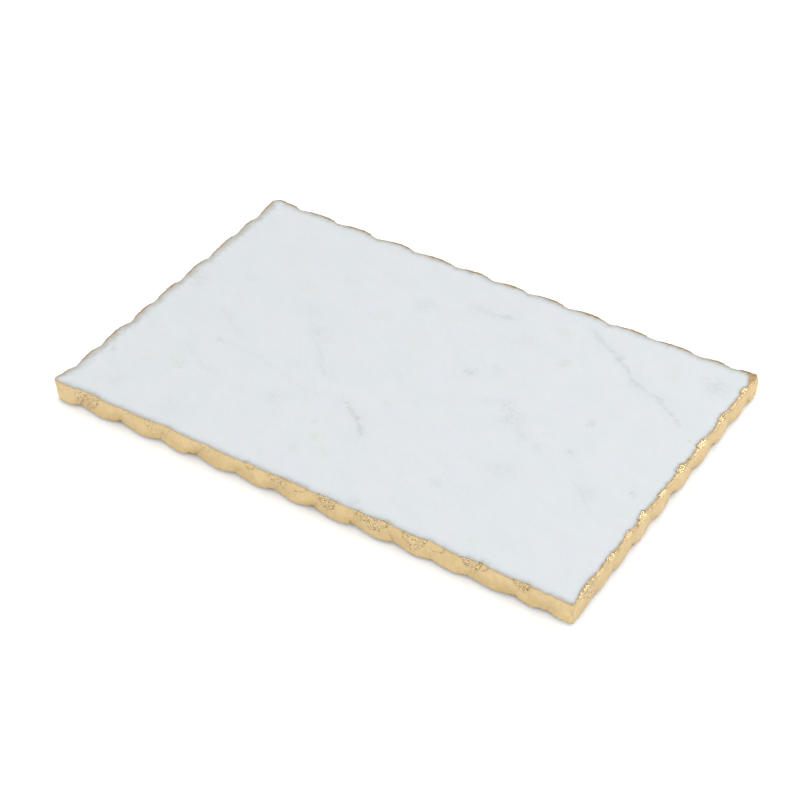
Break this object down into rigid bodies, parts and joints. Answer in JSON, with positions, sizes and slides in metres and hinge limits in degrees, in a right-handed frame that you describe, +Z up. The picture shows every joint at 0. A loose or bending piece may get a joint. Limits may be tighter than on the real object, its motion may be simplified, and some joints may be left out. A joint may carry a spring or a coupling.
{
  "type": "vanity tray",
  "caption": "Flat rectangular marble vanity tray with hand-chipped, gold-leafed edges, standing on small round rubber feet.",
  "frame": {"origin": "centre of the tray in plan, on the surface that its feet stand on", "axes": "+X along the length, +Y along the width towards the back, +Z up out of the polished face"},
  "size_m": [0.305, 0.2, 0.014],
  "materials": {
    "marble": "honed white marble with soft grey veins",
    "gold_leaf": "satin gold leaf over chipped stone",
    "foot_rubber": "milky matte rubber",
    "adhesive": "translucent acrylic adhesive"
  },
  "bodies": {
    "root": {"marble_slab": "marble", "gilding_front": "gold_leaf", "gilding_right": "gold_leaf", "gilding_back": "gold_leaf", "gilding_left": "gold_leaf", "foot_front_left": "foot_rubber", "foot_front_right": "foot_rubber", "foot_back_right": "foot_rubber", "foot_back_left": "foot_rubber", "adhesive_front_left": "adhesive", "adhesive_front_right": "adhesive", "adhesive_back_right": "adhesive", "adhesive_back_left": "adhesive"}
  },
  "joints": []
}
